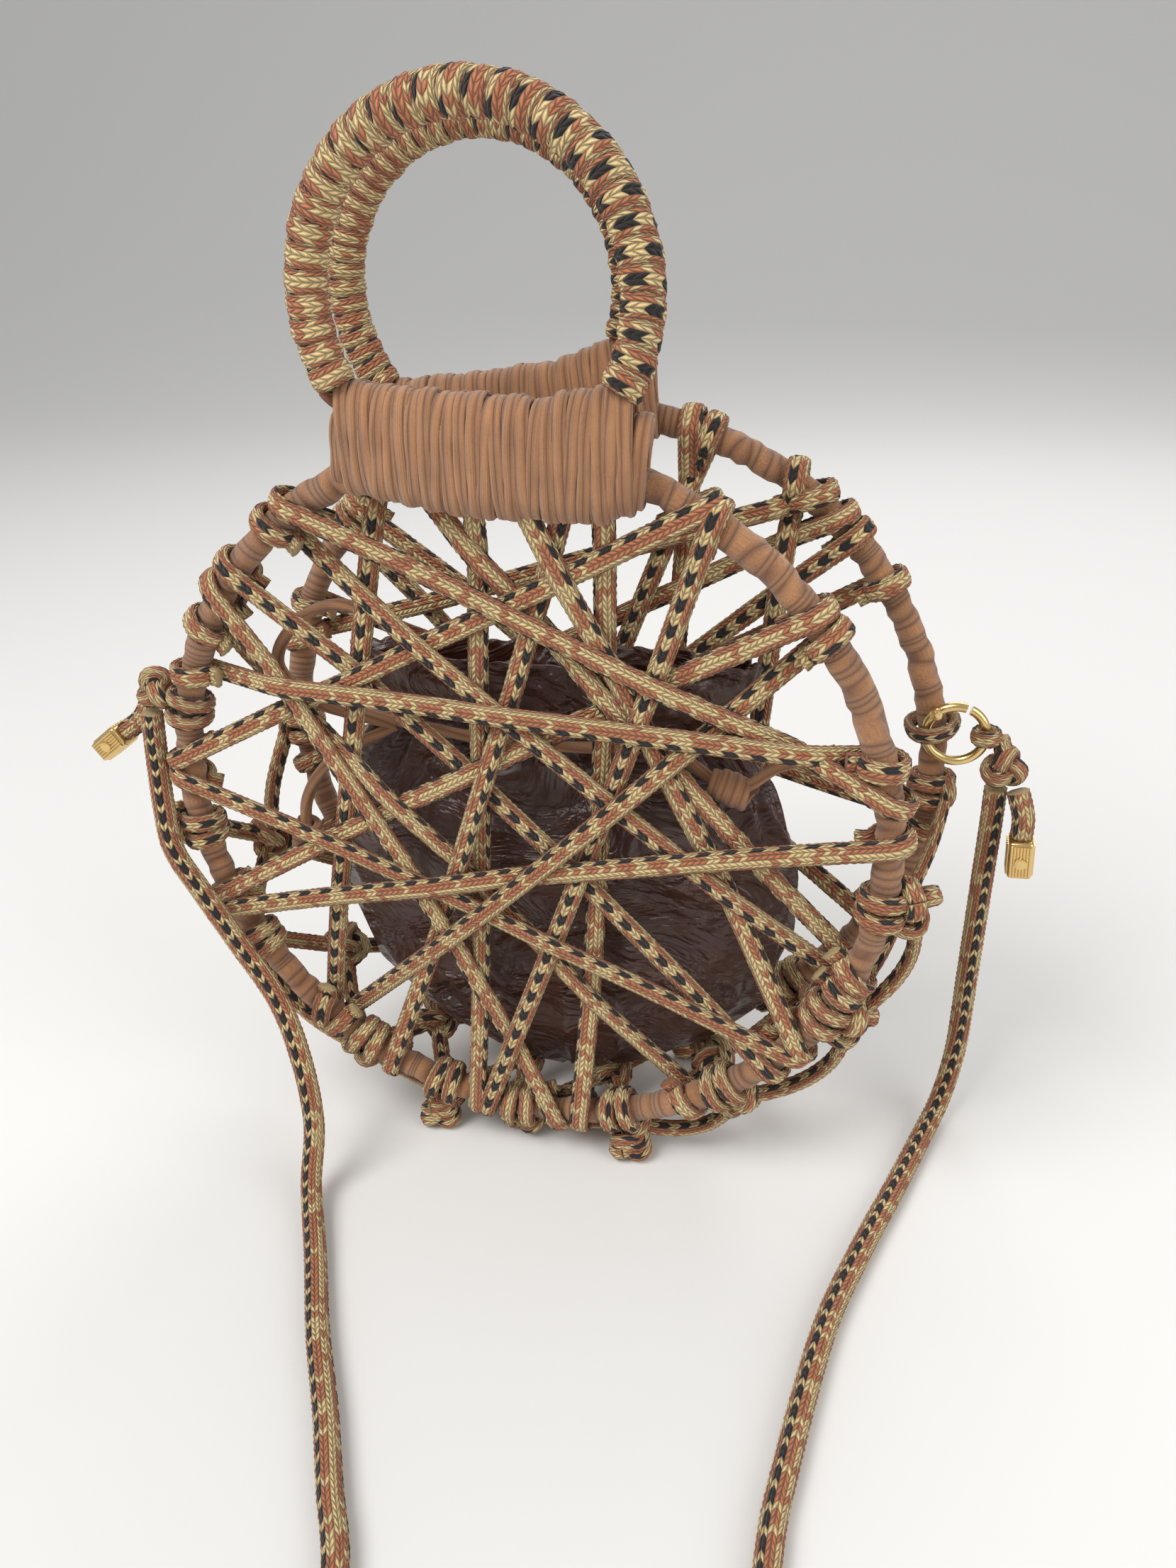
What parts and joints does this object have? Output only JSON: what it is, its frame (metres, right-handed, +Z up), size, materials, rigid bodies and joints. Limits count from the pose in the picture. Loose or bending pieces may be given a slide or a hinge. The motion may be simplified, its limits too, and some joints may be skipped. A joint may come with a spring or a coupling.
{
  "type": "cord bag",
  "caption": "Round evening bag: two wrapped hoops laced with knitted cord, knotted gusset, satin inner pouch, round wrapped handles and a cord strap.",
  "frame": {"origin": "middle of the bag's box at floor level, leaving out the strap and what is on it", "axes": "+Z up, along the bag's height; the bag's front faces -Y; +X to the right as the front is seen"},
  "size_m": [0.3369, 0.3995, 0.3552],
  "materials": {
    "knitted_cord": "flat knitted cord in cream, rust and black",
    "jersey_yarn": "matte tan-brown jersey yarn",
    "brown_satin": "dark brown satin with a soft sheen",
    "gold_metal": "polished pale gold plating"
  },
  "bodies": {
    "bag": {"front_hoop": "jersey_yarn", "front_handle": "knitted_cord", "front_lashing": "jersey_yarn", "front_web": "knitted_cord", "back_hoop": "jersey_yarn", "back_handle": "knitted_cord", "back_lashing": "jersey_yarn", "back_web": "knitted_cord", "gusset": "knitted_cord", "pouch": "brown_satin", "drawstring": "jersey_yarn", "strap": "knitted_cord", "strap_knot_left": "knitted_cord", "strap_tail_left": "knitted_cord", "end_cap_left": "gold_metal", "anchor_loop": "knitted_cord", "clasp_ring": "gold_metal", "strap_knot_right": "knitted_cord", "strap_tail_right": "knitted_cord", "end_cap_right": "gold_metal"},
    "clasp_gate": {"clasp_gate": "gold_metal"}
  },
  "joints": [
    {"name": "gate_hinge", "type": "hinge", "parent": "bag", "child": "clasp_gate", "pos_m": [0.12257, 0.02475, 0.16523], "axis": [0, 1, 0], "range_deg": [0, 25], "stiffness_Nm_per_rad": 0.01, "springref_deg": -11.46}
  ]
}
